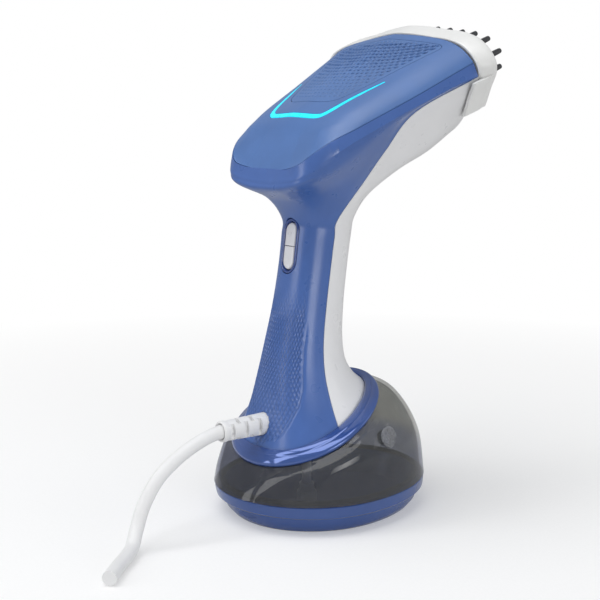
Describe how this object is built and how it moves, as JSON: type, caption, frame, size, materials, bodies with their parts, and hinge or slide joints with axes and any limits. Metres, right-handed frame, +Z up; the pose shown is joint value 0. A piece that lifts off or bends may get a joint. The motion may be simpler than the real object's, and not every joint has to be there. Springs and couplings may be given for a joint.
{
  "type": "handheld garment steamer",
  "caption": "Handheld garment steamer with push buttons, a lighted head, a removable brush ring and a mains cord, standing on a lift-off smoke-tinted water tank.",
  "frame": {"origin": "on the ground, under the middle of the tank's base", "axes": "+X the way the steam leaves, +Y the steamer's left, +Z up"},
  "size_m": [0.2279, 0.1296, 0.2571],
  "materials": {
    "blue_shell": "satin moulded",
    "light_blue_cover": "satin moulded",
    "texture_blue": "rows of small scoops",
    "blue_collar": "high gloss",
    "blue_base": "gloss",
    "bezel_blue": "gloss",
    "button_white": "satin",
    "white_shell": "satin moulded",
    "brush_white": "satin moulded",
    "white_rubber": "soft satin",
    "smoke_tank": "clear smoke-grey, polished",
    "smoke_plug": "clear smoke-grey",
    "cyan_light": "glowing diffuser",
    "bristle_grey": "satin",
    "inner_plastic": "plain moulded",
    "clear_tube": "milky silicone",
    "dark_rubber": "matte",
    "red_silicone": "matte",
    "circuit_board": "solder mask",
    "switch_black": "matte",
    "copper_coil": "lacquered winding",
    "plate_metal": "smooth brushed",
    "cast_metal": "die cast",
    "steel": "plain",
    "fuse_ceramic": "glazed"
  },
  "bodies": {
    "tank": {"tank_base": "blue_base", "water_tank": "smoke_tank", "tank_seal": "dark_rubber", "tank_valve": "inner_plastic", "valve_seal": "dark_rubber", "suction_tube": "clear_tube", "suction_filter": "inner_plastic"},
    "filler": {"filler_plug": "smoke_plug"},
    "steamer": {"rear_shell": "blue_shell", "front_shell": "white_shell", "top_cover": "light_blue_cover", "texture_panel": "texture_blue", "light_guide": "cyan_light", "light_board": "circuit_board", "handle_collar": "blue_collar", "foot_plate": "inner_plastic", "foot_screw_left": "steel", "foot_screw_right": "steel", "button_bezel": "bezel_blue", "upper_switch": "switch_black", "lower_switch": "switch_black", "control_board": "circuit_board", "board_screw_upper": "steel", "board_screw_lower": "steel", "water_inlet_pipe": "inner_plastic", "inlet_hose": "clear_tube", "pump_body": "inner_plastic", "pump_coil": "copper_coil", "outlet_hose": "clear_tube", "nozzle_frame": "white_shell", "steam_plate": "plate_metal", "plate_gasket": "red_silicone", "heating_chamber": "cast_metal", "heating_element": "steel", "chamber_lid": "cast_metal", "chamber_screw_left": "steel", "chamber_screw_right": "steel", "thermostat": "steel", "thermal_fuse": "fuse_ceramic", "cord_strain_relief": "white_rubber", "cord_clamp": "inner_plastic", "power_cord": "white_rubber"},
    "upper_key": {"upper_button": "button_white"},
    "lower_key": {"lower_button": "button_white"},
    "brush": {"brush_frame": "brush_white", "brush_bristles": "bristle_grey"}
  },
  "joints": [
    {"name": "tank_release", "type": "slide", "parent": "tank", "child": "steamer", "axis": [0, 0, 1], "range_m": [0, 0.06]},
    {"name": "upper_button_press", "type": "slide", "parent": "steamer", "child": "upper_key", "axis": [0.9918, 0, -0.1279], "range_m": [0, 0.001], "stiffness_N_per_m": 400},
    {"name": "lower_button_press", "type": "slide", "parent": "steamer", "child": "lower_key", "axis": [0.9918, 0, -0.1279], "range_m": [0, 0.001], "stiffness_N_per_m": 400},
    {"name": "brush_removal", "type": "slide", "parent": "steamer", "child": "brush", "axis": [0.9336, 0, 0.3584], "range_m": [0, 0.025]},
    {"name": "filler_plug_pull", "type": "slide", "parent": "tank", "child": "filler", "axis": [0.1599, -0.9495, 0.2699], "range_m": [0, 0.012]}
  ]
}
